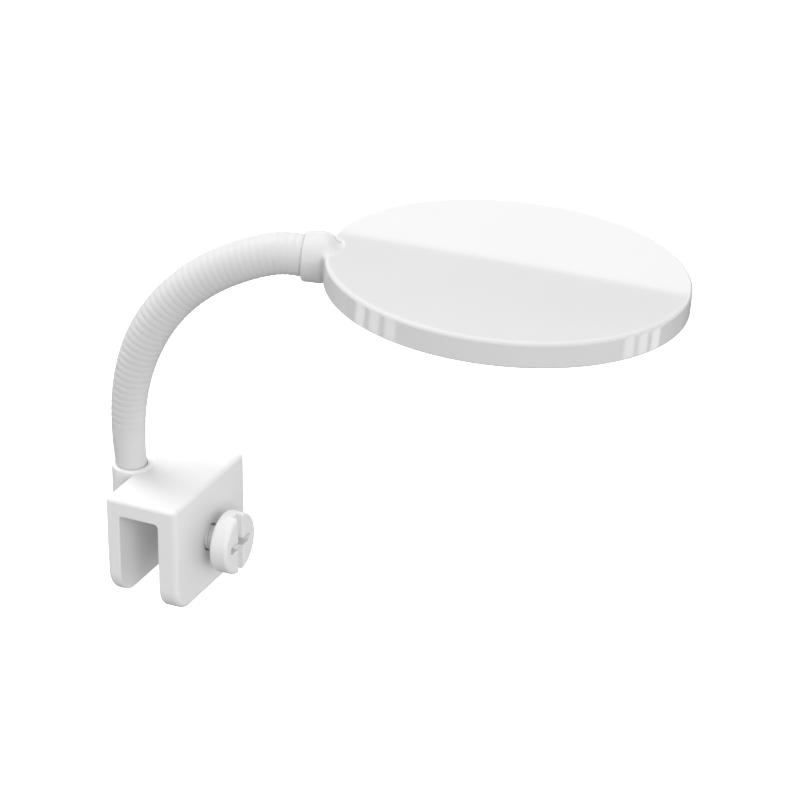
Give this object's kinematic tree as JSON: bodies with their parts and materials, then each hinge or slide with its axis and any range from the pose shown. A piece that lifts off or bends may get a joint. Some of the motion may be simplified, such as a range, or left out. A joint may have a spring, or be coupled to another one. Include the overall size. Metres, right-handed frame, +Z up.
{
  "type": "clamp reading lamp",
  "caption": "Small white clamp-on lamp: an upside-down U screw clamp, a ribbed bendable neck and a thin round head with a diffused light on its underside.",
  "frame": {"origin": "middle of the clamp channel's ceiling, where the clamp rests on the edge that it grips", "axes": "+X across the channel from the plain jaw towards the screw, +Y along the channel, +Z up"},
  "size_m": [0.1332, 0.0889, 0.0921],
  "materials": {
    "head_white": "glossy injection-moulded white",
    "clamp_white": "satin injection-moulded white",
    "screw_white": "satin injection-moulded white",
    "sleeve_white": "satin ribbed white sleeve",
    "core_steel": "bright coiled steel",
    "lead_jacket": "smooth white jacket",
    "ferrule_metal": "plain crimped metal",
    "screw_steel": "zinc-plated",
    "led_package": "yellow phosphor in a white package",
    "pad_rubber": "soft matt",
    "gland_rubber": "soft matt",
    "diffuser_opal": "satin opal acrylic",
    "board_white": "white solder mask on aluminium",
    "connector_cream": "moulded nylon",
    "chip_black": "moulded epoxy",
    "capacitor_tan": "ceramic body"
  },
  "bodies": {
    "clamp": {"clamp_body": "clamp_white", "cord_gland": "gland_rubber", "boss_lead": "lead_jacket", "lower_ferrule": "ferrule_metal", "neck_sleeve_1": "sleeve_white", "neck_core_1": "core_steel", "neck_lead_1": "lead_jacket"},
    "pad": {"pressure_pad": "pad_rubber"},
    "screw": {"clamp_screw": "screw_white"},
    "neck_2": {"neck_sleeve_2": "sleeve_white", "neck_core_2": "core_steel", "neck_lead_2": "lead_jacket"},
    "neck_3": {"neck_sleeve_3": "sleeve_white", "neck_core_3": "core_steel", "neck_lead_3": "lead_jacket"},
    "neck_4": {"neck_sleeve_4": "sleeve_white", "neck_core_4": "core_steel", "neck_lead_4": "lead_jacket"},
    "neck_5": {"neck_sleeve_5": "sleeve_white", "neck_core_5": "core_steel", "neck_lead_5": "lead_jacket"},
    "neck_6": {"neck_sleeve_6": "sleeve_white", "neck_core_6": "core_steel", "neck_lead_6": "lead_jacket"},
    "neck_7": {"neck_sleeve_7": "sleeve_white", "neck_core_7": "core_steel", "neck_lead_7": "lead_jacket"},
    "neck_8": {"neck_sleeve_8": "sleeve_white", "neck_core_8": "core_steel", "neck_lead_8": "lead_jacket"},
    "head": {"board_screw_1": "screw_steel", "board_screw_2": "screw_steel", "board_screw_3": "screw_steel", "diffuser": "diffuser_opal", "driver_capacitor": "capacitor_tan", "driver_chip": "chip_black", "head_bezel": "head_white", "head_shell": "head_white", "lead_connector": "connector_cream", "led_01": "led_package", "led_02": "led_package", "led_03": "led_package", "led_04": "led_package", "led_05": "led_package", "led_06": "led_package", "led_07": "led_package", "led_08": "led_package", "led_09": "led_package", "led_10": "led_package", "led_11": "led_package", "led_12": "led_package", "led_board": "board_white", "neck_core_9": "core_steel", "neck_lead_9": "lead_jacket", "neck_sleeve_9": "sleeve_white", "upper_ferrule": "ferrule_metal"}
  },
  "joints": [
    {"name": "pad_slide", "type": "slide", "parent": "clamp", "child": "pad", "axis": [-1, 0, 0], "range_m": [-0.001, 0.003]},
    {"name": "screw_turn", "type": "hinge", "parent": "pad", "child": "screw", "pos_m": [0.018, 0, -0.0103], "axis": [1, 0, 0], "range_deg": [-1081, 361]},
    {"name": "neck_bend_1", "type": "hinge", "parent": "clamp", "child": "neck_2", "pos_m": [-0.01174, -0.00017, 0.01441], "axis": [-0.3173, 0.9483, 0], "range_deg": [-20, 12]},
    {"name": "neck_sway_1", "type": "hinge", "parent": "neck_2", "child": "neck_3", "pos_m": [-0.01107, 0.00005, 0.02421], "axis": [0.9373, 0.3136, -0.1518], "range_deg": [-14, 14]},
    {"name": "neck_bend_2", "type": "hinge", "parent": "neck_3", "child": "neck_4", "pos_m": [-0.00892, 0.00077, 0.03376], "axis": [-0.3173, 0.9483, 0], "range_deg": [-20, 12]},
    {"name": "neck_sway_2", "type": "hinge", "parent": "neck_4", "child": "neck_5", "pos_m": [-0.005, 0.00208, 0.04266], "axis": [0.8078, 0.2703, -0.5238], "range_deg": [-14, 14]},
    {"name": "neck_bend_3", "type": "hinge", "parent": "neck_5", "child": "neck_6", "pos_m": [0.00076, 0.00401, 0.05036], "axis": [-0.3173, 0.9483, 0], "range_deg": [-20, 12]},
    {"name": "neck_sway_3", "type": "hinge", "parent": "neck_6", "child": "neck_7", "pos_m": [0.00808, 0.00646, 0.05642], "axis": [0.4983, 0.1667, -0.8508], "range_deg": [-14, 14]},
    {"name": "neck_bend_4", "type": "hinge", "parent": "neck_7", "child": "neck_8", "pos_m": [0.01649, 0.00928, 0.06061], "axis": [-0.3173, 0.9483, 0], "range_deg": [-20, 12]},
    {"name": "neck_sway_4", "type": "hinge", "parent": "neck_8", "child": "head", "pos_m": [0.02558, 0.01231, 0.06266], "axis": [0.065, 0.0217, -0.9976], "range_deg": [-14, 14]}
  ],
  "couplings": [
    {"joint": "screw_turn", "follows": "pad_slide", "rad_per_m": -6283.2},
    {"joint": "neck_bend_2", "follows": "neck_bend_1", "ratio": 1},
    {"joint": "neck_sway_2", "follows": "neck_sway_1", "ratio": 1},
    {"joint": "neck_bend_3", "follows": "neck_bend_1", "ratio": 1},
    {"joint": "neck_sway_3", "follows": "neck_sway_1", "ratio": 1},
    {"joint": "neck_bend_4", "follows": "neck_bend_1", "ratio": 1},
    {"joint": "neck_sway_4", "follows": "neck_sway_1", "ratio": 1}
  ]
}
